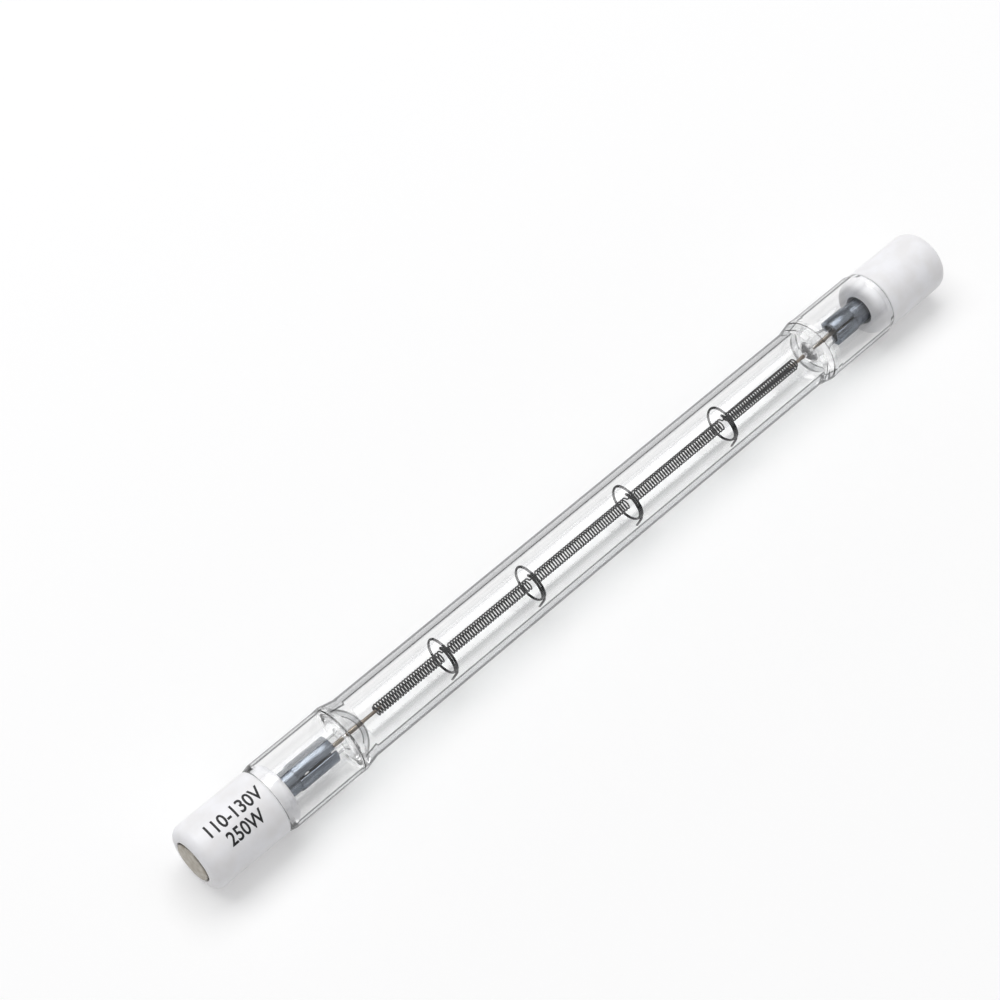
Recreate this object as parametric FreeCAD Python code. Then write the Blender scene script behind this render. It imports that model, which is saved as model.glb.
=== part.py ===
import FreeCAD, Part

import math
import os

from FreeCAD import Vector

os.makedirs("parts", exist_ok=True)

# A linear halogen bulb: a clear quartz tube with a ceramic cap at each end. The tube's axis is X, the near
# end is at -X and the origin is the middle of the bulb. All sizes are millimetres. A depth is measured
# inwards from the outer face of a ceramic cap, so the same depth at either end gives a mirrored place.

# Ceramic caps
ceramic_span = 117.0
cap_radius = 4.0
cap_body_length = 10.0
cap_edge_radius = 1.2
cap_edge_bevel_count = 2
spigot_length = 2.0
pocket_radius = 2.5
pocket_depth = 3.4
pocket_rim_width = 0.3
web_thickness = 1.6
web_clearance = 0.1

# Contact buttons
contact_clearance = 0.2
contact_proud = 0.12
contact_dome = 0.18
contact_flat_share = 0.5
contact_head_thickness = 1.3
contact_stem_radius = 1.2

# Quartz envelope
tube_radius = 3.85
tube_wall = 0.85
skirt_flare = 0.35
skirt_wall = 0.42
skirt_length = 10.6
spigot_clearance = 0.06
mouth_gap = 0.1
seam_length = 1.9
seal_thickness = 0.6
near_dome_height = 1.9
far_dome_height = 0.8
dome_bevel_count = 2
neck_radius = 1.1
neck_length = 5.3

# Lead wires
outer_lead_radius = 0.25
inner_lead_radius = 0.2
lead_joint_past_dome = 0.4
lead_reach_into_coil = 0.8

# Slotted metal sleeves that carry the outer leads, each ending some way before the seal
sleeve_radius = 1.675
collar_radius = 1.53
collar_past_cap = 1.85
near_sleeve_gap = 1.65
far_sleeve_gap = 3.5
sleeve_neck_clearance = 0.02
slot_width = 0.26
near_slot_angle = 132.5
far_slot_angle = 123.5

# Cement that holds each sleeve in its cap
cement_thickness = 0.32
cement_past_sleeve_start = 0.9
cement_setback = 1.5

# Filament: one tungsten strand wound into coils, with a straight link beside each support ring
coil_radius = 0.635
coil_pitch = 0.375
coil_steps_per_turn = 5.2
strand_radius = 0.11
strand_side_count = 3
near_coil_gap = 2.4
far_coil_gap = 1.7
link_length = 1.2
link_offset = 0.65
link_angle = 90.0
closing_turns = 0.5

# Filament supports: where along the filament they stand, and the wire that each is bent from
support_shares = (0.145, 0.344, 0.5754, 0.8114)
support_wire_radius = 0.15
support_side_count = 3
support_turn_gap = 0.04
ring_clearance = 0.65
ring_step_count = 14
eye_shift = 0.26
eye_step_count = 6
tail_angle = 206.6
tail_lean = 1.0
bend_length = 0.3
strand_gap = 0.04

# Worked out from the sizes above
half_span = ceramic_span / 2
cap_length = cap_body_length + spigot_length
cap_bore_radius = collar_radius + cement_thickness
cap_bore_depth = pocket_depth + web_thickness
web_hole_radius = outer_lead_radius + web_clearance
contact_radius = pocket_radius - contact_clearance

bore_radius = tube_radius - tube_wall
skirt_radius = tube_radius + skirt_flare
skirt_bore_radius = skirt_radius - skirt_wall
spigot_radius = skirt_bore_radius - spigot_clearance
mouth_depth = cap_body_length + mouth_gap
floor_depth = mouth_depth + skirt_length
dome_base_depth = floor_depth + seal_thickness
neck_end_depth = floor_depth - neck_length

sleeve_bore_radius = neck_radius + sleeve_neck_clearance
sleeve_start_depth = cap_bore_depth + web_clearance
collar_end_depth = cap_length + collar_past_cap
cement_start_depth = sleeve_start_depth + cement_past_sleeve_start
cement_end_depth = cap_length - cement_setback

support_ring_radius = bore_radius - ring_clearance - support_wire_radius
support_pitch = 2 * support_wire_radius + support_turn_gap

NEAR, FAR = -1, 1
AXIS = Vector(1, 0, 0)
ORIGIN = Vector(0, 0, 0)

side_names = {NEAR: "near", FAR: "far"}
dome_heights = {NEAR: near_dome_height, FAR: far_dome_height}
dome_tops = {side: dome_base_depth + height for side, height in dome_heights.items()}
lead_joints = {side: top + lead_joint_past_dome for side, top in dome_tops.items()}
coil_ends = {NEAR: dome_tops[NEAR] + near_coil_gap, FAR: dome_tops[FAR] + far_coil_gap}
sleeve_ends = {NEAR: floor_depth - near_sleeve_gap, FAR: floor_depth - far_sleeve_gap}
slot_angles = {NEAR: near_slot_angle, FAR: far_slot_angle}

filament_start = coil_ends[NEAR] - half_span
filament_end = half_span - coil_ends[FAR]
support_places = [filament_start + (filament_end - filament_start) * share for share in support_shares]


def at(side, depth, radius):
    """A profile point: a depth from the outer face of that side's cap, and a distance from the axis."""
    return Vector(side * (half_span - depth), radius, 0)


def turned(side, profile):
    """The solid of revolution, about the bulb's axis, of a closed profile of depths and radii."""
    points = [at(side, depth, radius) for depth, radius in profile]
    solid = Part.Face(Part.makePolygon(points + points[:1])).revolve(ORIGIN, AXIS, 360)
    return solid if solid.Volume > 0 else solid.reversed()


def round_over(centre, size, start, sweep, bevel_count):
    """Profile points on a circle about centre, from one angle through a sweep: a round as short bevels."""
    depth, radius = centre
    angles = [math.radians(start + sweep * k / bevel_count) for k in range(bevel_count + 1)]
    return [(depth + size * math.cos(a), radius + size * math.sin(a)) for a in angles]


def around_axis(x, radius, degrees):
    """A point at a place along the axis, a distance from it and an angle from +Y towards +Z."""
    a = math.radians(degrees)
    return Vector(x, radius * math.cos(a), radius * math.sin(a))


def wire_along(points, outwards, radius, side_count):
    """A bent wire: straight runs of polygon section with mitred bends, one corner towards each outward."""
    runs = [(b - a).normalize() for a, b in zip(points, points[1:])]
    angles = [2 * math.pi * k / side_count for k in range(side_count)]
    sections = []
    for k, (point, outward) in enumerate(zip(points, outwards)):
        mitre = runs[max(k - 1, 0)] + runs[min(k, len(runs) - 1)]
        u = (outward - mitre * (outward.dot(mitre) / mitre.dot(mitre))).normalize()
        v = mitre.cross(u).normalize()
        corners = [point + u * (radius * math.cos(a)) + v * (radius * math.sin(a)) for a in angles]
        sections.append(Part.makePolygon(corners + corners[:1]))
    wire = Part.makeLoft(sections, True, True)
    return wire if wire.Volume > 0 else wire.reversed()


def ceramic_cap(side):
    """The ceramic cap: a round-edged body, a spigot for the glass skirt, a pocket and a sleeve bore."""
    edge_radius = min(cap_edge_radius, cap_radius - pocket_radius - pocket_rim_width)
    edge = round_over((edge_radius, cap_radius - edge_radius), edge_radius, 180, -90, cap_edge_bevel_count)
    return turned(side, [
        (0, pocket_radius), *edge,
        (cap_body_length, cap_radius), (cap_body_length, spigot_radius),
        (cap_length, spigot_radius), (cap_length, cap_bore_radius),
        (cap_bore_depth, cap_bore_radius), (cap_bore_depth, web_hole_radius),
        (pocket_depth, web_hole_radius), (pocket_depth, pocket_radius)])


def contact(side):
    """The contact button: a domed head on a stem that stands on the pocket's floor, on the lead's end."""
    top = -contact_proud - contact_dome
    head_back = contact_head_thickness - contact_proud
    return turned(side, [
        (top, 0), (top, contact_radius * contact_flat_share),
        (-contact_proud, contact_radius), (head_back, contact_radius),
        (head_back, contact_stem_radius), (pocket_depth, contact_stem_radius), (pocket_depth, 0)])


def envelope_end(side):
    """The profile of one end of the quartz, from the outside of the tube round to the edge of its bore."""
    height = dome_heights[side]
    ball = (bore_radius ** 2 + height ** 2) / (2 * height)
    low = math.degrees(math.asin(outer_lead_radius / ball))
    high = math.degrees(math.asin(bore_radius / ball))
    dome = round_over((dome_tops[side] - ball, 0), ball, low, high - low, dome_bevel_count)
    return [
        (floor_depth + seam_length, tube_radius), (floor_depth, skirt_radius),
        (mouth_depth, skirt_radius), (mouth_depth, skirt_bore_radius),
        (floor_depth, skirt_bore_radius), (floor_depth, neck_radius),
        (neck_end_depth, neck_radius), (neck_end_depth, outer_lead_radius), *dome]


def quartz_envelope():
    """The fused quartz: a tube with a domed seal at each end, and a neck and an open skirt outside it."""
    far_end = [(ceramic_span - depth, radius) for depth, radius in reversed(envelope_end(FAR))]
    return turned(NEAR, envelope_end(NEAR) + far_end)


def outer_lead(side):
    """The wire from the contact, through the sleeve, the neck and the seal, to just inside the bulb."""
    start, end = pocket_depth, lead_joints[side]
    return turned(side, [(start, 0), (start, outer_lead_radius), (end, outer_lead_radius), (end, 0)])


def inner_lead(side):
    """The thinner wire that the closing turns of the filament grip."""
    start, end = lead_joints[side], coil_ends[side] + lead_reach_into_coil
    return turned(side, [(start, 0), (start, inner_lead_radius), (end, inner_lead_radius), (end, 0)])


def lead_sleeve(side):
    """The metal sleeve: a collar inside the cap, then a wider part, slotted, on the neck of the glass."""
    end = sleeve_ends[side]
    body = turned(side, [
        (sleeve_start_depth, outer_lead_radius), (sleeve_start_depth, collar_radius),
        (collar_end_depth, collar_radius), (collar_end_depth, sleeve_radius), (end, sleeve_radius),
        (end, sleeve_bore_radius), (neck_end_depth, sleeve_bore_radius),
        (neck_end_depth, outer_lead_radius)])
    slot_length = end - collar_end_depth
    slot_start = min(at(side, collar_end_depth, 0).x, at(side, end, 0).x)
    slot = Part.makeBox(slot_length, 2 * sleeve_radius, slot_width, Vector(slot_start, 0, -slot_width / 2))
    slot = slot.cut(Part.makeCylinder(sleeve_bore_radius, slot_length, Vector(slot_start, 0, 0), AXIS))
    slot.rotate(ORIGIN, AXIS, slot_angles[side])
    return body.cut(slot)


def cement(side):
    """The ring of cement between the sleeve's collar and the bore of the cap."""
    return turned(side, [
        (cement_start_depth, collar_radius), (cement_start_depth, cap_bore_radius),
        (cement_end_depth, cap_bore_radius), (cement_end_depth, collar_radius)])


def closing_path(start_share, end_share):
    """How the strand draws in to grip the lead, as radii and turns. A share of 1 is at the coil."""
    steps = round(closing_turns * coil_steps_per_turn)
    grip_radius = inner_lead_radius + strand_radius + strand_gap
    shares = [start_share + (end_share - start_share) * k / steps for k in range(steps + 1)]
    return [(grip_radius + (coil_radius - grip_radius) * s, closing_turns * (s - 1)) for s in shares]


def filament():
    """One strand: a closing turn on each lead, the coils, and a straight link where each support holds it."""
    links = [place + link_offset for place in support_places]
    starts = [filament_start] + [middle + link_length / 2 for middle in links]
    ends = [middle - link_length / 2 for middle in links] + [filament_end]
    path = [(filament_start, radius, turn) for radius, turn in closing_path(0, 1)[:-1]]
    for start, end in zip(starts, ends):
        turns = round((end - start) / coil_pitch)
        steps = round(turns * coil_steps_per_turn)
        shares = [k / steps for k in range(steps + 1)]
        path += [(start + (end - start) * share, coil_radius, turns * share) for share in shares]
    path += [(filament_end, radius, -turn) for radius, turn in closing_path(1, 0)[1:]]
    points = [around_axis(x, radius, link_angle + 360 * turn) for x, radius, turn in path]
    return wire_along(points, [Vector(0, p.y, p.z) for p in points], strand_radius, strand_side_count)


def filament_support(place):
    """One bent wire: an eye round the filament's link, a spoke, a ring of over one turn, and a tail."""
    link = around_axis(place + link_offset, coil_radius, link_angle)
    up = around_axis(0, 1, link_angle)
    across = AXIS.cross(up)
    eye_radius = strand_radius + strand_gap + support_wire_radius
    points = []
    for k in range(eye_step_count):
        a = 2 * math.pi * k / eye_step_count
        shift = eye_shift * (0.5 - k / (eye_step_count - 1))
        points.append(link + (up * math.cos(a) + across * math.sin(a)) * eye_radius + AXIS * shift)
    sweep = 360 + tail_angle - link_angle
    width = support_pitch * sweep / 360
    start, end = place - width / 2, place + width / 2
    points.append(around_axis(start, support_ring_radius - bend_length, link_angle))
    steps = round(ring_step_count * sweep / 360)
    for k in range(steps):
        share = (k + 0.5) / steps
        points.append(around_axis(start + width * share, support_ring_radius, link_angle + sweep * share))
    points.append(around_axis(end, support_ring_radius + bend_length, tail_angle))
    points.append(around_axis(end - tail_lean, bore_radius - support_wire_radius - strand_gap, tail_angle))
    return wire_along(points, [AXIS] * len(points), support_wire_radius, support_side_count)


def save(shape, node):
    """Write one piece, after making sure that it is sound."""
    if not shape.isValid() or not shape.Solids:
        raise ValueError(node + " is not a sound solid")
    shape.exportStep("parts/" + node + ".step")
    print(node, "solids", len(shape.Solids), "volume", round(shape.Volume, 3))


save(quartz_envelope(), "quartz_envelope")
for side, name in side_names.items():
    save(ceramic_cap(side), "ceramic_cap_" + name)
    save(contact(side), "contact_" + name)
    save(outer_lead(side), "outer_lead_" + name)
    save(inner_lead(side), "inner_lead_" + name)
    save(lead_sleeve(side), "lead_sleeve_" + name)
    save(cement(side), "cement_" + name)
save(filament(), "filament")
for number, place in enumerate(support_places, 1):
    save(filament_support(place), "filament_support_" + str(number))
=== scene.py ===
import math

import bmesh
import bpy
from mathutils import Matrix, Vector


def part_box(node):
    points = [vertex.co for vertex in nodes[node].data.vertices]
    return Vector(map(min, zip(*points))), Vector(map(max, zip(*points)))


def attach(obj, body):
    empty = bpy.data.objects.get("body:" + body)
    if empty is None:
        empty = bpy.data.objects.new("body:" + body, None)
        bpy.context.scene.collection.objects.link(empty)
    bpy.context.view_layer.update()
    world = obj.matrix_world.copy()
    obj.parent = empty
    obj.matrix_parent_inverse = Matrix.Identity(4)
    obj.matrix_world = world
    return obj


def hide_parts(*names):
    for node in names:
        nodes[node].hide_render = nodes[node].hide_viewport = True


# A linear halogen bulb along X, with its near end at -X. Sizes in this script are millimetres, and every
# mesh is made in metres. A depth runs inwards from the outer face of a ceramic cap, so it fits both ends.

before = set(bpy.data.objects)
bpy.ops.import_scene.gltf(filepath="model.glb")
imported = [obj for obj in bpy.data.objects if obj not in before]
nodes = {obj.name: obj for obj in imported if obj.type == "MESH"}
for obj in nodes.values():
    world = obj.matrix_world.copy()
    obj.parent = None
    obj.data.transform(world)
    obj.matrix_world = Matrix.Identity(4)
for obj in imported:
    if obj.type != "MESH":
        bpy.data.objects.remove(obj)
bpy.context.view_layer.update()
mm = 0.001
print("frame loaded:", len(nodes), "nodes")

near, far = -1, 1
endNames = {near: "near", far: "far"}
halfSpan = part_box("ceramic_cap_far")[1].x / mm      # from the middle of the bulb to a cap's outer face
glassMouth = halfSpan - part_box("quartz_envelope")[1].x / mm
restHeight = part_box("quartz_envelope")[1].z / mm    # the bulb lies on its skirts, which are the widest part


# Small helpers

def linear(hexColour):
    channels = [int(hexColour[i:i + 2], 16) / 255 for i in (1, 3, 5)]
    return tuple(c / 12.92 if c <= 0.04045 else ((c + 0.055) / 1.055) ** 2.4 for c in channels) + (1.0,)


def addNode(tree, kind, inputs=None, **settings):
    node = tree.nodes.new(kind)
    for name, value in settings.items():
        setattr(node, name, value)
    for name, value in (inputs or {}).items():
        if isinstance(value, bpy.types.NodeSocket):
            tree.links.new(value, node.inputs[name])
        else:
            node.inputs[name].default_value = value
    return node


def maths(tree, operation, a, b=0.0):
    return addNode(tree, "ShaderNodeMath", {0: a, 1: b}, operation=operation).outputs["Value"]


def perMm(size):
    return 1 / (size * mm)      # texture scale on Object coordinates for a feature of that many millimetres


def newMaterial(name, colour=None, **values):
    material = bpy.data.materials.new(name)
    material.use_nodes = True
    tree = material.node_tree
    shader = tree.nodes["Principled BSDF"]
    if colour:
        shader.inputs["Base Color"].default_value = linear(colour)
    for socket, value in values.items():
        shader.inputs[socket].default_value = value
    return material, tree, shader


def mottle(tree, shader, colours, size, detail=4.0, stretch=(1, 1, 1), low=0.35, high=0.65):
    # Two close tones drift over the surface in patches of a given size
    place = addNode(tree, "ShaderNodeTexCoord")
    scaled = addNode(tree, "ShaderNodeMapping", {"Vector": place.outputs["Object"], "Scale": stretch})
    noise = addNode(tree, "ShaderNodeTexNoise",
                    {"Vector": scaled.outputs["Vector"], "Scale": perMm(size), "Detail": detail})
    ramp = addNode(tree, "ShaderNodeValToRGB", {"Fac": noise.outputs["Fac"]})
    for element, position, colour in zip(ramp.color_ramp.elements, (low, high), colours):
        element.position = position
        element.color = linear(colour)
    tree.links.new(ramp.outputs["Color"], shader.inputs["Base Color"])
    return scaled, noise


def grain(tree, shader, vector, size, height, detail=2.0):
    # Bump of a given grain size and height in millimetres. A grain under about 0.1 mm, a pixel of the
    # render, is drawn that coarse so that it shows.
    noise = addNode(tree, "ShaderNodeTexNoise", {"Vector": vector, "Scale": perMm(size), "Detail": detail})
    bump = addNode(tree, "ShaderNodeBump",
                   {"Height": noise.outputs["Fac"], "Distance": height * mm, "Strength": 1.0})
    tree.links.new(bump.outputs["Normal"], shader.inputs["Normal"])


def roughnessFrom(tree, shader, noise, low, high):
    span = addNode(tree, "ShaderNodeMapRange",
                   {"Value": noise.outputs["Fac"], "To Min": low, "To Max": high})
    tree.links.new(span.outputs["Result"], shader.inputs["Roughness"])


def finishMesh(name, mesh, material, replaces=(), sharpAngle=40):
    # Smooth faces, with a sharp edge wherever two faces meet at more than the given angle
    bm = bmesh.new()
    bm.from_mesh(mesh)
    for face in bm.faces:
        face.smooth = True
    for edge in bm.edges:
        edge.smooth = len(edge.link_faces) != 2 or edge.calc_face_angle(0) < math.radians(sharpAngle)
    bm.to_mesh(mesh)
    bm.free()
    piece = bpy.data.objects.new(name, mesh)
    bpy.context.scene.collection.objects.link(piece)
    piece.data.materials.clear()
    piece.data.materials.append(material)
    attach(piece, "root")
    if replaces:
        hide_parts(*replaces)
    return piece


def arcCorner(before, corner, after, radius, steps=6):
    # Points of the round that replaces a corner of an outline
    a, c, b = Vector(before), Vector(corner), Vector(after)
    u, v = (a - c).normalized(), (b - c).normalized()
    half = math.acos(max(-1, min(1, u.dot(v)))) / 2
    reach = radius / math.tan(half)
    centre = c + (u + v).normalized() * (radius / math.sin(half))
    start, end = c + u * reach - centre, c + v * reach - centre
    turn = math.atan2(start.x * end.y - start.y * end.x, start.dot(end))
    points = []
    for k in range(steps + 1):
        t = turn * k / steps
        points.append((centre.x + start.x * math.cos(t) - start.y * math.sin(t),
                       centre.y + start.x * math.sin(t) + start.y * math.cos(t)))
    return points


def roundedOutline(corners, closed=True):
    # Corners are (depth, radius, round); a round of 0 keeps the corner
    outline = []
    count = len(corners)
    for k, (depth, radius, roundSize) in enumerate(corners):
        if roundSize == 0 or (not closed and k in (0, count - 1)):
            outline.append((depth, radius))
        else:
            before, after = corners[k - 1][:2], corners[(k + 1) % count][:2]
            outline += arcCorner(before, (depth, radius), after, roundSize)
    return outline


def supported(points, closed, reach=0.06, longStretch=0.5):
    # Adds a point close to each end of a long straight stretch, so that its smooth shading stays straight
    result = []
    pairs = list(zip(points, points[1:] + points[:1]))
    for (x, radius), (nextX, nextRadius) in pairs if closed else pairs[:-1]:
        result.append((x, radius))
        length = math.hypot(nextX - x, nextRadius - radius)
        if length > longStretch:
            for share in (reach / length, 1 - reach / length):
                result.append((x + (nextX - x) * share, radius + (nextRadius - radius) * share))
    return result if closed else result + [points[-1]]


def latheInto(bm, points, segments, closed):
    # Turns points (x, radius) in millimetres about the X axis; a radius of 0 is a pole
    rings = []
    for x, radius in supported(points, closed):
        if radius < 1e-6:
            rings.append([bm.verts.new((x * mm, 0, 0))])
        else:
            rings.append([bm.verts.new((x * mm, radius * mm * math.cos(2 * math.pi * k / segments),
                                        radius * mm * math.sin(2 * math.pi * k / segments)))
                          for k in range(segments)])
    pairs = list(zip(rings, rings[1:])) + ([(rings[-1], rings[0])] if closed else [])
    faces = []
    for first, second in pairs:
        for k in range(segments):
            n = (k + 1) % segments
            corners = [first[k % len(first)], first[n % len(first)]]
            corners += [second[n % len(second)], second[k % len(second)]]
            corners = list(dict.fromkeys(corners))      # a pole appears once
            if len(corners) > 2:
                faces.append(bm.faces.new(corners))
    bmesh.ops.recalc_face_normals(bm, faces=faces)
    return rings


def turnedPiece(name, end, corners, material, replaces, segments, closed=True):
    # One turned piece at one end of the bulb; its outline gives depths from the cap's outer face
    outline = roundedOutline(corners, closed)
    bm = bmesh.new()
    latheInto(bm, [(end * (halfSpan - depth), radius) for depth, radius in outline], segments, closed)
    mesh = bpy.data.meshes.new(name)
    bm.to_mesh(mesh)
    bm.free()
    return finishMesh(name, mesh, material, replaces)


def aroundAxis(x, radius, degrees):
    a = math.radians(degrees)
    return Vector((x, radius * math.cos(a), radius * math.sin(a)))


# Materials

# Where the painted shade on a quartz wall changes: shares of the radius, counted from the axis for the
# painted streak and from the edges of the bore and the rim for the rest
paintedShadeShares = {"streakFrom": 0.3, "shadeStreak": 0.447, "streakTo": 0.58, "clearBefore": 0.03,
              "lineBefore": 0.004, "lineAfter": 0.014, "bandAfter": 0.035, "rimFade": 0.03}


def paintedWallShade(tree, wall):
    # Painted shade in a quartz wall's colour, by its place between the axis (0) and the rim (1), squared.
    # It stands in for the darker surroundings that refraction brings into view: a soft painted streak
    # half-way out, and past the bore's edge, where sight runs through solid glass, a painted dark line, a
    # painted grey band and a painted dark rim. The Layer Weight against the axis takes out the slant at which
    # the tube is seen.
    def squaredCosine(inputs):
        facing = addNode(tree, "ShaderNodeLayerWeight", {"Blend": 0.5, **inputs}).outputs["Facing"]
        return maths(tree, "POWER", maths(tree, "SUBTRACT", 1.0, facing), 2.0)

    axis = addNode(tree, "ShaderNodeCombineXYZ", {"X": 1.0})
    across = maths(tree, "SUBTRACT", 1.0, squaredCosine({"Normal": axis.outputs["Vector"]}))
    place = maths(tree, "SUBTRACT", 1.0, maths(tree, "DIVIDE", squaredCosine({}), across))
    ramp = addNode(tree, "ShaderNodeValToRGB", {"Fac": place})
    s, bore, edge, clear = paintedShadeShares, wall["bore"], wall["edge"], "#FFFFFF"
    # stops of painted shade: a painted streak, then past the bore's edge a painted dark line, a painted grey
    # band and a painted dark rim
    stops = ((s["streakFrom"], clear), (s["shadeStreak"], wall["shadeStreak"]), (s["streakTo"], clear),
             (bore - s["clearBefore"], clear), (bore - s["lineBefore"], wall["line"]),
             (bore + s["lineAfter"], wall["line"]), (bore + s["bandAfter"], wall["shadeBand"]),
             (edge - s["rimFade"], wall["shadeBand"]), (edge, wall["shadeRim"]))
    for k, (share, colour) in enumerate(stops):
        element = ramp.color_ramp.elements[k] if k < 2 else ramp.color_ramp.elements.new(share ** 2)
        element.position = share ** 2
        element.color = linear(colour)
    # the painted shade goes only where light enters, so that nothing is drawn twice
    back = addNode(tree, "ShaderNodeNewGeometry").outputs["Backfacing"]
    paintedShade = addNode(tree, "ShaderNodeMix", {0: back, 6: ramp.outputs["Color"], 7: (1, 1, 1, 1)},
                   data_type="RGBA")
    return paintedShade.outputs[2]


def makeQuartz(name, wall=None):
    # Fused quartz: drawn from the melt, fire polished, and clear. Given a wall, its grey walls between dark
    # lines are painted shade in the base colour.
    material, tree, shader = newMaterial("fused_quartz_" + name, "#FFFFFF", Roughness=0.0, IOR=1.458)
    shader.inputs["Transmission Weight"].default_value = 1.0
    if wall:
        tree.links.new(paintedWallShade(tree, wall), shader.inputs["Base Color"])
    # rays from lamps pass straight through, so that what is inside the tube is lit
    path = addNode(tree, "ShaderNodeLightPath")
    clear = addNode(tree, "ShaderNodeBsdfTransparent", {"Color": linear("#EEEFEF")})
    both = addNode(tree, "ShaderNodeMixShader",
                   {0: path.outputs["Is Shadow Ray"], 1: shader.outputs["BSDF"], 2: clear.outputs["BSDF"]})
    tree.links.new(both.outputs["Shader"], tree.nodes["Material Output"].inputs["Surface"])
    return material


def makeCeramic():
    # Steatite: pressed and fired, unglazed. Cool white with a satin sheen and a fine tooth, drawn coarser
    # than the real one.
    material, tree, shader = newMaterial("steatite_pressed_fired", IOR=1.6)
    scaled, noise = mottle(tree, shader, ("#F0EFF0", "#F7F7FA"), 2.2)
    grain(tree, shader, scaled.outputs["Vector"], 0.12, 0.004)
    roughnessFrom(tree, shader, noise, 0.36, 0.5)
    return material


def makeContactMetal():
    # Nickel-plated iron, stamped and tarnished: beige grey and dull, with faint scuffs.
    material, tree, shader = newMaterial("nickel_plated_iron_stamped", Metallic=1.0)
    scaled, noise = mottle(tree, shader, ("#A39C90", "#BDB9B1"), 0.7)
    grain(tree, shader, scaled.outputs["Vector"], 0.1, 0.006, 4.0)
    roughnessFrom(tree, shader, noise, 0.45, 0.62)
    return material


def makeSleeveMetal():
    # Nickel strip, cold rolled and bent round: satin blue grey, with rolling lines along it. The real
    # lines are finer.
    material, tree, shader = newMaterial("nickel_strip_cold_rolled", Metallic=1.0)
    scaled, noise = mottle(tree, shader, ("#6F757E", "#8B9199"), 0.5, stretch=(0.12, 1, 1))
    grain(tree, shader, scaled.outputs["Vector"], 0.12, 0.003)
    roughnessFrom(tree, shader, noise, 0.2, 0.32)
    return material


def makeLeadMetal():
    # Molybdenum wire, pulled through a die and tinted brown by the heat of sealing. The real die lines
    # are finer than those shown.
    material, tree, shader = newMaterial("molybdenum_drawn_heat_tinted", Metallic=1.0, Roughness=0.35)
    scaled = mottle(tree, shader, ("#6B5F54", "#94897C"), 0.6, stretch=(0.15, 1, 1))[0]
    grain(tree, shader, scaled.outputs["Vector"], 0.08, 0.002)
    return material


def makeTungsten():
    # Tungsten wire, drawn and flashed: near black, with a thin shine along each turn.
    material, tree, shader = newMaterial("tungsten_drawn_flashed", Metallic=1.0)
    noise = mottle(tree, shader, ("#1C1C1E", "#303033"), 0.5)[1]
    roughnessFrom(tree, shader, noise, 0.14, 0.26)
    return material


def makeCement():
    # Basing cement: cast and baked, chalky off-white with open grains.
    material, tree, shader = newMaterial("basing_cement_baked", Roughness=0.9)
    scaled = mottle(tree, shader, ("#BFB8A9", "#D6D1C6"), 0.5)[0]
    grain(tree, shader, scaled.outputs["Vector"], 0.15, 0.03, 4.0)
    return material


def makeInk():
    # Stamped ceramic ink, fired on: near black and matte, thin where the stamp pressed lightly.
    material, tree, shader = newMaterial("ceramic_ink_stamped", Roughness=0.6)
    mottle(tree, shader, ("#141416", "#2C2C30"), 0.25, low=0.45, high=0.75)
    return material


ceramic = makeCeramic()
contactMetal = makeContactMetal()
sleeveMetal = makeSleeveMetal()
leadMetal = makeLeadMetal()
tungsten = makeTungsten()
cement = makeCement()
ink = makeInk()
print("materials made")


# Ceramic caps and contact buttons

cap = {"radius": 4.0, "length": 12.0, "body": 10.0, "edgeRound": 1.2, "shoulderRound": 0.12,
       "spigot": 3.72, "spigotRound": 0.9, "bore": 1.85, "boreDepth": 5.0, "boreRound": 0.15,
       "wireHole": 0.35, "pocket": 2.5, "pocketDepth": 3.4, "pocketRound": 0.3, "rimRound": 0.18}


def makeCap(end):
    c = cap
    turnedPiece("cap_" + endNames[end], end, [
        (0, c["pocket"], c["rimRound"]), (0, c["radius"], c["edgeRound"]),
        (c["body"], c["radius"], c["shoulderRound"]), (c["body"], c["spigot"], 0),
        (c["length"], c["spigot"], c["spigotRound"]), (c["length"], c["bore"], c["boreRound"]),
        (c["boreDepth"], c["bore"], 0), (c["boreDepth"], c["wireHole"], 0),
        (c["pocketDepth"], c["wireHole"], 0), (c["pocketDepth"], c["pocket"], c["pocketRound"])],
        ceramic, ["ceramic_cap_" + endNames[end]], segments=192)


contact = {"radius": 2.3, "proud": 0.12, "dome": 0.18, "domeSteps": 12, "headThickness": 1.3,
           "edgeRound": 0.12, "stem": 1.2, "backRound": 0.1}


def makeContact(end):
    c = contact
    dome = []
    for k in range(c["domeSteps"]):
        radius = c["radius"] * k / c["domeSteps"]
        dome.append((-c["proud"] - c["dome"] * (1 - (radius / c["radius"]) ** 2), radius, 0))
    back = c["headThickness"] - c["proud"]
    turnedPiece("contact_button_" + endNames[end], end, dome + [
        (-c["proud"], c["radius"], c["edgeRound"]), (back, c["radius"], c["backRound"]),
        (back, c["stem"], c["backRound"]),
        (cap["pocketDepth"], c["stem"], 0), (cap["pocketDepth"], 0, 0)],
        contactMetal, ["contact_" + endNames[end]], segments=128, closed=False)


# The print on the near cap is plain rating figures; a baseline is an angle round the cap
figures = {"lines": ("110-130V", "250W"), "height": 1.62, "starts": (2.2, 3.4), "lengths": (7.15, 4.6),
           "baselines": (105.8, 136.0), "thickness": 0.012, "boldness": 0.018, "cuts": 12}


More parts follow.
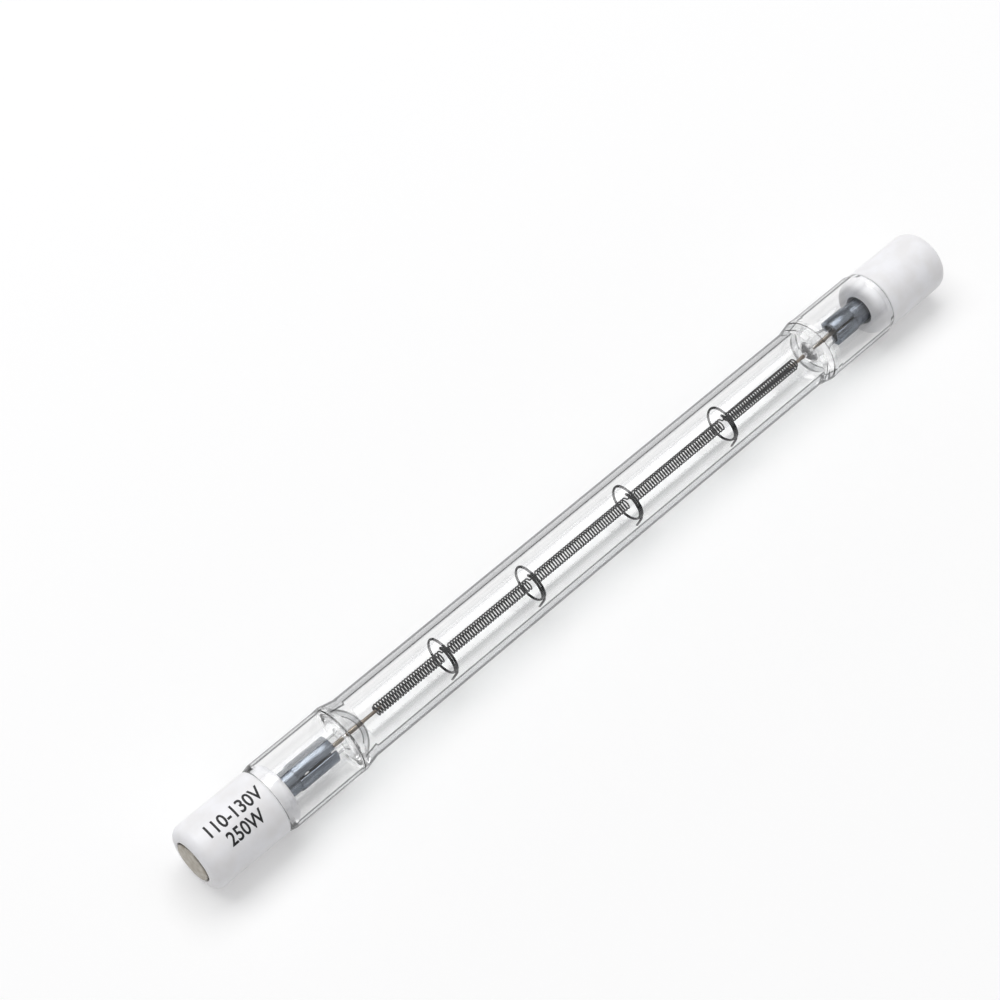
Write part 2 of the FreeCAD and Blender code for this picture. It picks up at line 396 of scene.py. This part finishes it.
def makeFigures():
    f = figures
    bm = bmesh.new()
    for text, start, length, baseline in zip(f["lines"], f["starts"], f["lengths"], f["baselines"]):
        curve = bpy.data.curves.new("figures", "FONT")
        curve.body = text
        curve.resolution_u = 4
        curve.offset = f["boldness"]
        letters = bpy.data.objects.new("figures", curve)
        bpy.context.scene.collection.objects.link(letters)
        flat = bpy.data.meshes.new_from_object(letters.evaluated_get(bpy.context.evaluated_depsgraph_get()))
        bpy.data.objects.remove(letters)
        line = bmesh.new()
        line.from_mesh(flat)
        xs = [v.co.x for v in line.verts]
        ys = [v.co.y for v in line.verts]
        low, tall, wide = min(ys), max(ys) - min(ys), max(xs) - min(xs)
        for v in line.verts:
            v.co = Vector(((v.co.x - min(xs)) / wide * length, (v.co.y - low) / tall * f["height"], 0))
        for k in range(1, f["cuts"]):       # cut across, so that the letters can follow the round cap
            bmesh.ops.bisect_plane(line, geom=line.verts[:] + line.edges[:] + line.faces[:],
                                   plane_co=(0, f["height"] * k / f["cuts"], 0), plane_no=(0, 1, 0))
        bmesh.ops.triangulate(line, faces=line.faces[:])
        around = 180 / math.pi / cap["radius"]
        for v in line.verts:
            place = aroundAxis(-halfSpan + start + v.co.x, cap["radius"] + f["thickness"],
                               baseline - v.co.y * around)
            v.co = place * mm
        bmesh.ops.recalc_face_normals(line, faces=line.faces[:])
        for face in line.faces:
            middle = face.calc_center_median()
            if face.normal.dot(Vector((0, middle.y, middle.z))) < 0:
                face.normal_flip()
        part = bpy.data.meshes.new("line")
        line.to_mesh(part)
        line.free()
        bm.from_mesh(part)
    mesh = bpy.data.meshes.new("cap_figures")
    bm.to_mesh(mesh)
    bm.free()
    finishMesh("cap_figures", mesh, ink, sharpAngle=180)


for end in (near, far):
    makeCap(end)
    makeContact(end)
makeFigures()
print("caps, contacts and print made")


# Quartz envelope: tube, seals, necks and skirts, fused as one

glass = {"tube": 3.85, "bore": 3.0, "skirt": 4.2, "skirtBore": 3.78, "skirtRound": 0.5, "lip": 0.8,
         "lipRound": 0.6, "mouthRound": 0.03, "floor": 20.7, "floorRound": 0.5, "domeBase": 21.3,
         "domeHeights": {near: 1.9, far: 0.8}, "neck": 1.1, "neckFlare": 0.35, "neckRound": 0.12,
         "neckEnd": 15.4, "channel": 0.27, "straightFrom": 26.7, "margin": 0.05, "segments": 224}

# The fused seam between tube and skirt: a low bead whose edge wanders as three waves, each given as the
# times that it goes round the tube, its share and its phase
seam = {"length": 1.9, "bulge": 0.07, "start": 0.1, "beadRound": 0.35, "fadeRound": 1.2, "reach": 2.2,
        "wave": 0.22, "waves": ((2, 1.0, 0.6), (5, 0.55, 0.0), (9, 0.4, 2.0)), "farPhase": 1.3}

# The painted shade across each wall's width: a painted streak, dark line, grey band and dark rim; places are
# shares of the radius
quartzTube = makeQuartz("tube", {
    "bore": glass["bore"] / glass["tube"], "edge": 0.945,
    "shadeStreak": "#CDCDCF", "line": "#28292B", "shadeBand": "#C3C4C6", "shadeRim": "#18191B"})
quartzSkirt = makeQuartz("skirt", {
    "bore": glass["skirtBore"] / glass["skirt"], "edge": 0.972,
    "shadeStreak": "#DCDCDE", "line": "#333436", "shadeBand": "#F2F3F4", "shadeRim": "#18191B"})
quartzInside = makeQuartz("inside")


def outerOutline():
    # From the lead's channel at the neck's tip, over the floor, the skirt and the seam, to the tube
    g, s = glass, seam
    return [(g["neckEnd"], g["channel"], 0), (g["neckEnd"], g["neck"], g["neckRound"]),
            (g["floor"], g["neck"], g["neckFlare"]), (g["floor"], g["skirtBore"], g["floorRound"]),
            (glassMouth, g["skirtBore"], g["mouthRound"]), (glassMouth, cap["radius"], g["mouthRound"]),
            (glassMouth + g["lip"], g["skirt"], g["lipRound"]),
            (g["floor"] - s["length"] / 2, g["skirt"], g["skirtRound"]),
            (g["floor"] - s["start"], g["skirt"] + s["bulge"], s["beadRound"]),
            (g["floor"] + s["length"], g["tube"], s["fadeRound"]), (g["straightFrom"], g["tube"], 0)]


def domeOutline(end, steps=20):
    g = glass
    height = g["domeHeights"][end]
    ball = (g["bore"] ** 2 + height ** 2) / (2 * height)
    tip, edge = math.asin(g["channel"] / ball), math.asin(g["bore"] / ball)
    angles = [tip + (edge - tip) * k / steps for k in range(steps + 1)]
    return [(g["domeBase"] + height - ball + ball * math.cos(a), ball * math.sin(a)) for a in angles]


def wanderSeams(rings):
    g, s = glass, seam
    middle = halfSpan - g["floor"]
    whole = sum(share for count, share, phase in s["waves"])
    for ring in rings:
        for v in ring:
            reach = abs(v.co.x) / mm - middle
            outside = math.hypot(v.co.y, v.co.z) / mm > g["skirtBore"] + g["margin"]
            if outside and abs(reach) < s["reach"]:
                a = math.atan2(v.co.z, v.co.y) + (s["farPhase"] if v.co.x > 0 else 0)
                wave = sum(share * math.sin(count * a + phase) for count, share, phase in s["waves"])
                v.co.x += s["wave"] * (wave / whole) * (1 - (reach / s["reach"]) ** 2) * mm


def makeEnvelope():
    g = glass
    outside = roundedOutline(outerOutline(), False)
    outline = [(-(halfSpan - d), r) for d, r in outside] + [(halfSpan - d, r) for d, r in outside[::-1]]
    outline += [(halfSpan - d, r) for d, r in domeOutline(far)]
    outline += [(-(halfSpan - d), r) for d, r in domeOutline(near)[::-1]]
    bm = bmesh.new()
    wanderSeams(latheInto(bm, outline, g["segments"], True))
    mesh = bpy.data.meshes.new("quartz_tube")
    bm.to_mesh(mesh)
    bm.free()
    finishMesh("quartz_tube", mesh, quartzTube, ["quartz_envelope"], sharpAngle=50)
    mesh.materials.append(quartzSkirt)
    mesh.materials.append(quartzInside)
    for face in mesh.polygons:
        middle = face.center / mm
        outwards = face.normal.y * middle.y + face.normal.z * middle.z > 0
        depth, radius = halfSpan - abs(middle.x), math.hypot(middle.y, middle.z)
        if not outwards or radius < g["neck"] - g["margin"] or depth < glassMouth + g["margin"]:
            face.material_index = 2     # inside, the neck's tip and the mouth
        elif radius > g["skirtBore"] and depth < g["floor"]:
            face.material_index = 1


makeEnvelope()
print("quartz envelope made")


# Wires: a Geometry Nodes tree sweeps a round wire along a path and rounds its bends

def newTree(name, inputs):
    # A Geometry Nodes tree with the named inputs, given as (kind, names)
    tree = bpy.data.node_groups.new(name, "GeometryNodeTree")
    for kind, names in inputs:
        for socket in names:
            tree.interface.new_socket(socket, in_out="INPUT", socket_type="NodeSocket" + kind)
    tree.interface.new_socket("Geometry", in_out="OUTPUT", socket_type="NodeSocketGeometry")
    return tree, addNode(tree, "NodeGroupInput").outputs


def sweepInto(tree, curve, radius, sides, material):
    # A round section swept along a curve and closed at its ends, made real and given its material
    section = addNode(tree, "GeometryNodeCurvePrimitiveCircle", {"Resolution": sides, "Radius": radius})
    swept = addNode(tree, "GeometryNodeCurveToMesh",
                    {"Curve": curve, "Profile Curve": section.outputs["Curve"], "Fill Caps": True})
    real = addNode(tree, "GeometryNodeRealizeInstances", {"Geometry": swept.outputs["Mesh"]})
    coated = addNode(tree, "GeometryNodeSetMaterial",
                     {"Geometry": real.outputs["Geometry"], "Material": material})
    addNode(tree, "NodeGroupOutput", {"Geometry": coated.outputs["Geometry"]})


def makeSweepTree():
    tree, given = newTree("sweptWire", (
        ("Geometry", ["Geometry"]), ("Float", ["Wire Radius", "Bend Radius"]),
        ("Int", ["Wire Sides", "Bend Steps"]), ("Material", ["Material"])))
    path = addNode(tree, "GeometryNodeMeshToCurve", {"Mesh": given["Geometry"]})
    bent = addNode(tree, "GeometryNodeFilletCurve",
                   {"Curve": path.outputs["Curve"], "Radius": given["Bend Radius"], "Limit Radius": True,
                    "Count": given["Bend Steps"]}, mode="POLY")
    sweepInto(tree, bent.outputs["Curve"], given["Wire Radius"], given["Wire Sides"], given["Material"])
    return tree


def makeFilamentTree(coilCount):
    # The strand winds round the axis in coils and runs straight between them, where the supports hold it
    lengths = ["Strand Radius", "Coil Radius", "Grip Radius", "Coil Pitch", "Tail Turns", "Tail Length"]
    lengths += ["Link Angle"] + [side + str(k + 1) for k in range(coilCount) for side in ("Start ", "End ")]
    tree, given = newTree("woundFilament", (("Float", lengths), ("Int", ["Steps", "Strand Sides"]),
                                            ("Material", ["Material"])))
    first, last = given["Start 1"], given["End " + str(coilCount)]

    # along runs a tail's length past each end; x stays between the ends
    index = addNode(tree, "GeometryNodeInputIndex").outputs["Index"]
    share = maths(tree, "DIVIDE", index, maths(tree, "SUBTRACT", given["Steps"], 1.0))
    low = maths(tree, "SUBTRACT", first, given["Tail Length"])
    high = maths(tree, "ADD", last, given["Tail Length"])
    along = addNode(tree, "ShaderNodeMapRange", {"Value": share, "To Min": low, "To Max": high})
    along = along.outputs["Result"]
    x = maths(tree, "MAXIMUM", maths(tree, "MINIMUM", along, last), first)
    over = maths(tree, "DIVIDE", maths(tree, "SUBTRACT", along, x), given["Tail Length"])
    turns = maths(tree, "MULTIPLY", over, given["Tail Turns"])
    for k in range(1, coilCount + 1):
        start, stop = given["Start " + str(k)], given["End " + str(k)]
        whole = maths(tree, "DIVIDE", maths(tree, "SUBTRACT", stop, start), given["Coil Pitch"])
        whole = maths(tree, "ROUND", whole)
        wound = addNode(tree, "ShaderNodeMapRange",
                        {"Value": x, "From Min": start, "From Max": stop, "To Max": whole})
        turns = maths(tree, "ADD", turns, wound.outputs["Result"])
    radius = addNode(tree, "ShaderNodeMapRange",
                     {"Value": maths(tree, "ABSOLUTE", over), "To Min": given["Coil Radius"],
                      "To Max": given["Grip Radius"]}).outputs["Result"]
    angle = maths(tree, "ADD", maths(tree, "MULTIPLY", turns, 2 * math.pi), given["Link Angle"])
    y = maths(tree, "MULTIPLY", radius, maths(tree, "COSINE", angle))
    z = maths(tree, "MULTIPLY", radius, maths(tree, "SINE", angle))
    place = addNode(tree, "ShaderNodeCombineXYZ", {"X": x, "Y": y, "Z": z})
    points = addNode(tree, "GeometryNodeMeshLine", {"Count": given["Steps"]})
    wound = addNode(tree, "GeometryNodeSetPosition",
                    {"Geometry": points.outputs["Mesh"], "Position": place.outputs["Vector"]})
    path = addNode(tree, "GeometryNodeMeshToCurve", {"Mesh": wound.outputs["Geometry"]})
    sweepInto(tree, path.outputs["Curve"], given["Strand Radius"], given["Strand Sides"], given["Material"])
    return tree


def growMesh(name, source, tree, values):
    # Runs a tree on a mesh with its inputs set by identifier, and returns the plain mesh it makes
    holder = bpy.data.objects.new(name + "_source", source)
    bpy.context.scene.collection.objects.link(holder)
    modifier = holder.modifiers.new("grow", "NODES")
    modifier.node_group = tree
    for item in tree.interface.items_tree:
        if item.item_type == "SOCKET" and item.in_out == "INPUT" and item.name in values:
            modifier[item.identifier] = values[item.name]
    grown = bpy.data.meshes.new_from_object(holder.evaluated_get(bpy.context.evaluated_depsgraph_get()))
    holder.modifiers.remove(modifier)
    bpy.data.objects.remove(holder)
    grown.name = name
    return grown


def pathMesh(points):
    mesh = bpy.data.meshes.new("path")
    mesh.from_pydata([p * mm for p in points], [(k, k + 1) for k in range(len(points) - 1)], [])
    return mesh


sweepTree = makeSweepTree()
filament = {"start": 25.6, "end": 93.2, "coilRadius": 0.635, "strandRadius": 0.09, "pitch": 0.375,
            "gripRadius": 0.31, "linkLength": 1.2, "linkOffset": 0.65, "linkAngle": 90.0, "tailTurns": 0.5,
            "tailLength": 0.2, "stepsPerTurn": 22, "strandSides": 8}
supportWires = {"places": (35.4, 48.85, 64.5, 80.45), "ringRadius": 2.2, "wireRadius": 0.15, "pitch": 0.34,
                "eyeShift": 0.26, "eyeSteps": 14, "ringSteps": 56, "tailAngle": 206.6, "tailLean": 1.0,
                "bend": 0.3, "bendRound": 0.25, "bendSteps": 4, "gap": 0.05, "sides": 12}


def makeFilament():
    f = filament
    middles = [place + f["linkOffset"] for place in supportWires["places"]]
    starts = [f["start"]] + [m + f["linkLength"] / 2 for m in middles]
    ends = [m - f["linkLength"] / 2 for m in middles] + [f["end"]]
    steps = round((f["end"] - f["start"]) / f["pitch"] * f["stepsPerTurn"])
    values = {"Strand Radius": f["strandRadius"] * mm, "Coil Radius": f["coilRadius"] * mm,
              "Grip Radius": f["gripRadius"] * mm, "Coil Pitch": f["pitch"] * mm,
              "Tail Turns": f["tailTurns"], "Tail Length": f["tailLength"] * mm,
              "Link Angle": math.radians(f["linkAngle"]), "Steps": steps, "Strand Sides": f["strandSides"],
              "Material": tungsten}
    for k, (start, stop) in enumerate(zip(starts, ends), 1):
        values["Start " + str(k)] = (start - halfSpan) * mm
        values["End " + str(k)] = (stop - halfSpan) * mm
    tree = makeFilamentTree(len(starts))
    grown = growMesh("coiled_filament", bpy.data.meshes.new("nothing"), tree, values)
    finishMesh("coiled_filament", grown, tungsten, ["filament"], sharpAngle=60)


def makeSupport(number, place):
    # An eye round the link, a spoke, a ring of over one turn, and a tail that leans on the glass
    s, f = supportWires, filament
    x = place - halfSpan
    link = aroundAxis(x + f["linkOffset"], f["coilRadius"], f["linkAngle"])
    up = aroundAxis(0, 1, f["linkAngle"])
    across = Vector((1, 0, 0)).cross(up)
    eye = f["strandRadius"] + s["gap"] + s["wireRadius"]
    points = []
    for k in range(s["eyeSteps"] - 1):
        a = 2 * math.pi * k / s["eyeSteps"]
        shift = s["eyeShift"] * (0.5 - k / (s["eyeSteps"] - 1))
        points.append(link + (up * math.cos(a) + across * math.sin(a)) * eye + Vector((shift, 0, 0)))
    sweep = 360 + s["tailAngle"] - f["linkAngle"]
    steps = round(s["ringSteps"] * sweep / 360)
    start, stop = x - s["pitch"] * sweep / 720, x + s["pitch"] * sweep / 720
    points.append(aroundAxis(start, s["ringRadius"] - s["bend"], f["linkAngle"]))
    for k in range(2, steps - 2):
        share = (k + 0.5) / steps
        turned = f["linkAngle"] + sweep * share
        points.append(aroundAxis(start + (stop - start) * share, s["ringRadius"], turned))
    points.append(aroundAxis(stop, s["ringRadius"] + s["bend"], s["tailAngle"]))
    rest = glass["bore"] - s["wireRadius"] - s["gap"]
    points.append(aroundAxis(stop - s["tailLean"], rest, s["tailAngle"]))
    name = "support_wire_" + str(number)
    grown = growMesh(name, pathMesh(points), sweepTree, {
        "Wire Radius": s["wireRadius"] * mm, "Wire Sides": s["sides"], "Bend Radius": s["bendRound"] * mm,
        "Bend Steps": s["bendSteps"], "Material": tungsten})
    finishMesh(name, grown, tungsten, ["filament_support_" + str(number)], sharpAngle=60)


makeFilament()
for number, place in enumerate(supportWires["places"], 1):
    makeSupport(number, place)
print("filament and supports made")


# Lead wires

lead = {"outer": 0.25, "inner": 0.2, "jointPastDome": 0.4, "reach": 0.8, "jointRound": 0.05,
        "tipRound": 0.06, "sides": 32}


def makeLead(end):
    joint = glass["domeBase"] + glass["domeHeights"][end] + lead["jointPastDome"]
    coilEnd = filament["start"] if end == near else 2 * halfSpan - filament["end"]
    for name, outline in (
            ("outer", [(cap["pocketDepth"], 0, 0), (cap["pocketDepth"], lead["outer"], 0),
                       (joint, lead["outer"], lead["jointRound"]), (joint, 0, 0)]),
            ("inner", [(joint, 0, 0), (joint, lead["inner"], 0),
                       (coilEnd + lead["reach"], lead["inner"], lead["tipRound"]),
                       (coilEnd + lead["reach"], 0, 0)])):
        turnedPiece("lead_" + name + "_" + endNames[end], end, outline, leadMetal,
                    [name + "_lead_" + endNames[end]], lead["sides"], closed=False)


# Sleeves: a strip rolled round, with a slot where its edges turn in

sleeve = {"radius": 1.675, "bore": 1.12, "ends": {near: 19.05, far: 17.2}, "slotWidth": 0.26,
          "slotAngles": {near: 132.5, far: 123.5}, "edgeRoll": 0.22, "rollSteps": 6, "arcSteps": 72,
          "easing": ((0.0, 0.1), (0.03, 0.03), (0.1, 0.0)), "collar": 1.53, "collarEnd": 13.85,
          "collarGap": 0.1, "collarRound": 0.1, "collarOverlap": 0.05, "collarSides": 96}


def slottedSection(angle):
    # The strip's cut end in (angle from the slot, radius): outside round, rolled edges, inside
    s = sleeve
    half = math.degrees(math.asin(s["slotWidth"] / 2 / s["radius"]))
    roll = math.degrees(s["edgeRoll"] / s["radius"])
    inner = math.degrees(math.asin(s["slotWidth"] / 2 / s["bore"]))

    def rolledEdge(k):
        # angle past the slot's side, and radius, after k of the roll's steps
        t = math.pi / 2 * k / s["rollSteps"]
        return half + roll * (1 - math.sin(t)), s["radius"] - s["edgeRoll"] * (1 - math.cos(t))

    points = []
    for k in range(s["arcSteps"] + 1):
        points.append((half + roll + (360 - 2 * (half + roll)) * k / s["arcSteps"], s["radius"]))
    for k in range(1, s["rollSteps"] + 1):
        past, radius = rolledEdge(k)
        points.append((360 - past, radius))
    for k in range(s["arcSteps"] + 1):
        points.append((360 - inner - (360 - 2 * inner) * k / s["arcSteps"], s["bore"]))
    points += [rolledEdge(s["rollSteps"] - k) for k in range(1, s["rollSteps"] + 1)]
    return [(a + angle, r) for a, r in points]


def makeSleeve(end):
    s = sleeve
    section = slottedSection(s["slotAngles"][end])
    middle = (s["radius"] + s["bore"]) / 2
    stations = [(s["collarEnd"] + away, shrink) for away, shrink in s["easing"]]
    stations += [(s["ends"][end] - away, shrink) for away, shrink in s["easing"][::-1]]
    bm = bmesh.new()
    rings = []
    for depth, shrink in stations:
        ring = []
        for a, r in section:
            eased = r - shrink if r > middle else r + shrink
            ring.append(bm.verts.new(aroundAxis(end * (halfSpan - depth), eased, a) * mm))
        rings.append(ring)
    count = len(section)
    for first, second in zip(rings, rings[1:]):
        for k in range(count):
            n = (k + 1) % count
            bm.faces.new((first[k], first[n], second[n], second[k]))
    bm.faces.new(rings[0])
    bm.faces.new(rings[-1])
    bmesh.ops.recalc_face_normals(bm, faces=bm.faces[:])
    start, stop = cap["boreDepth"] + s["collarGap"], s["collarEnd"] + s["collarOverlap"]
    collar = roundedOutline([(start, lead["outer"], 0), (start, s["collar"], s["collarRound"]),
                             (stop, s["collar"], 0), (stop, lead["outer"], 0)])
    latheInto(bm, [(end * (halfSpan - d), r) for d, r in collar], s["collarSides"], True)
    mesh = bpy.data.meshes.new("sleeve")
    bm.to_mesh(mesh)
    bm.free()
    finishMesh("sleeve_" + endNames[end], mesh, sleeveMetal, ["lead_sleeve_" + endNames[end]])


for end in (near, far):
    makeLead(end)
    makeSleeve(end)
    node = nodes["cement_" + endNames[end]]
    node.data.materials.clear()
    node.data.materials.append(cement)
print("leads and sleeves made")


# Floor, light and camera

studio = {"floorSize": 4.0, "floorGlow": 0.28, "stripEdge": (8.0, 13.0),
          "key": {"at": (0.06, 0.47, 1.17), "size": (1.5, 0.75), "power": 11.2},
          "fill": {"at": (0.6, -0.5, 1.0), "size": (1.0, 1.0), "power": 0.9},
          "backdrop": 0.85, "room": 0.03, "ceiling": 0.5,
          "backdropTop": 0.2, "roomStart": 0.32, "ceilingStart": 0.75}


def makeFloor():
    mesh = bpy.data.meshes.new("floor")
    half = studio["floorSize"] / 2
    corners = [(-half, -half, 0), (half, -half, 0), (half, half, 0), (-half, half, 0)]
    mesh.from_pydata(corners, [], [(0, 1, 2, 3)])
    floor = bpy.data.objects.new("floor", mesh)
    floor.location.z = -restHeight * mm
    bpy.context.scene.collection.objects.link(floor)
    material, tree, shader = newMaterial("floor_paper_white", "#DEDEDE", Roughness=0.9)
    # white to the eye and in metal, and still dark where a shadow falls; glass shows it white close to the
    # bulb and greyer further off, which draws the edges of the tube
    path = addNode(tree, "ShaderNodeLightPath").outputs
    place = addNode(tree, "ShaderNodeTexCoord")
    split = addNode(tree, "ShaderNodeSeparateXYZ", {"Vector": place.outputs["Object"]})
    inner, outer = studio["stripEdge"]
    strip = addNode(tree, "ShaderNodeMapRange", {
        "Value": maths(tree, "ABSOLUTE", split.outputs["Y"]),
        "From Min": inner * mm, "From Max": outer * mm, "To Min": 1.0, "To Max": 0.0})
    through = maths(tree, "MULTIPLY", path["Is Transmission Ray"], strip.outputs["Result"])
    mirrored = maths(tree, "SUBTRACT", path["Is Glossy Ray"], path["Is Transmission Ray"])
    seen = maths(tree, "MAXIMUM", maths(tree, "MAXIMUM", path["Is Camera Ray"], through), mirrored)
    glow = maths(tree, "MULTIPLY", seen, studio["floorGlow"])
    tree.links.new(glow, shader.inputs["Emission Strength"])
    shader.inputs["Emission Color"].default_value = (1, 1, 1, 1)
    mesh.materials.append(material)


def makeLamp(name):
    lamp = studio[name]
    data = bpy.data.lights.new(name, "AREA")
    data.shape = "RECTANGLE"
    data.size, data.size_y = lamp["size"]
    data.energy = lamp["power"]
    light = bpy.data.objects.new(name, data)
    light.location = lamp["at"]
    light.rotation_euler = (-Vector(lamp["at"])).to_track_quat("-Z", "Y").to_euler()
    bpy.context.scene.collection.objects.link(light)


def makeWorld():
    world = bpy.data.worlds.new("studio")
    bpy.context.scene.world = world
    world.use_nodes = True
    tree = world.node_tree
    back = tree.nodes["Background"]
    back.inputs["Color"].default_value = linear("#F5F5F6")
    # a pale backdrop at eye level, a dark room above it and a bright ceiling
    s = studio
    place = addNode(tree, "ShaderNodeTexCoord")
    height = addNode(tree, "ShaderNodeSeparateXYZ", {"Vector": place.outputs["Generated"]}).outputs["Z"]
    fades = []
    for top, low, high in ((s["roomStart"], s["backdrop"], s["room"]),
                           (s["ceilingStart"], s["room"], s["ceiling"])):
        fade = addNode(tree, "ShaderNodeMapRange", {
            "Value": height, "From Min": s["backdropTop"], "From Max": top, "To Min": low, "To Max": high},
            interpolation_type="SMOOTHSTEP")
        fades.append(fade.outputs["Result"])
    tree.links.new(maths(tree, "MAXIMUM", fades[0], fades[1]), back.inputs["Strength"])


view = {"lens": 86.4, "at": (-114.11, -101.89, 224.10), "aim": (-3.87, 10.40, 0.0)}     # millimetres


def makeCamera():
    data = bpy.data.cameras.new("camera")
    data.lens = view["lens"]
    data.sensor_width = 36
    data.clip_start = 0.01
    data.clip_end = 20
    camera = bpy.data.objects.new("camera", data)
    camera.location = Vector(view["at"]) * mm
    camera.rotation_euler = (Vector(view["aim"]) - Vector(view["at"])).to_track_quat("-Z", "Y").to_euler()
    bpy.context.scene.collection.objects.link(camera)
    bpy.context.scene.camera = camera


makeFloor()
makeLamp("key")
makeLamp("fill")
makeWorld()
makeCamera()
bpy.context.scene.view_settings.view_transform = "Standard"
# light that runs to and fro in the glass necks and seams is followed to its end
bpy.context.scene.cycles.max_bounces = 24
bpy.context.scene.cycles.glossy_bounces = 16
bpy.context.scene.cycles.transmission_bounces = 24
print("stage, light and camera made")
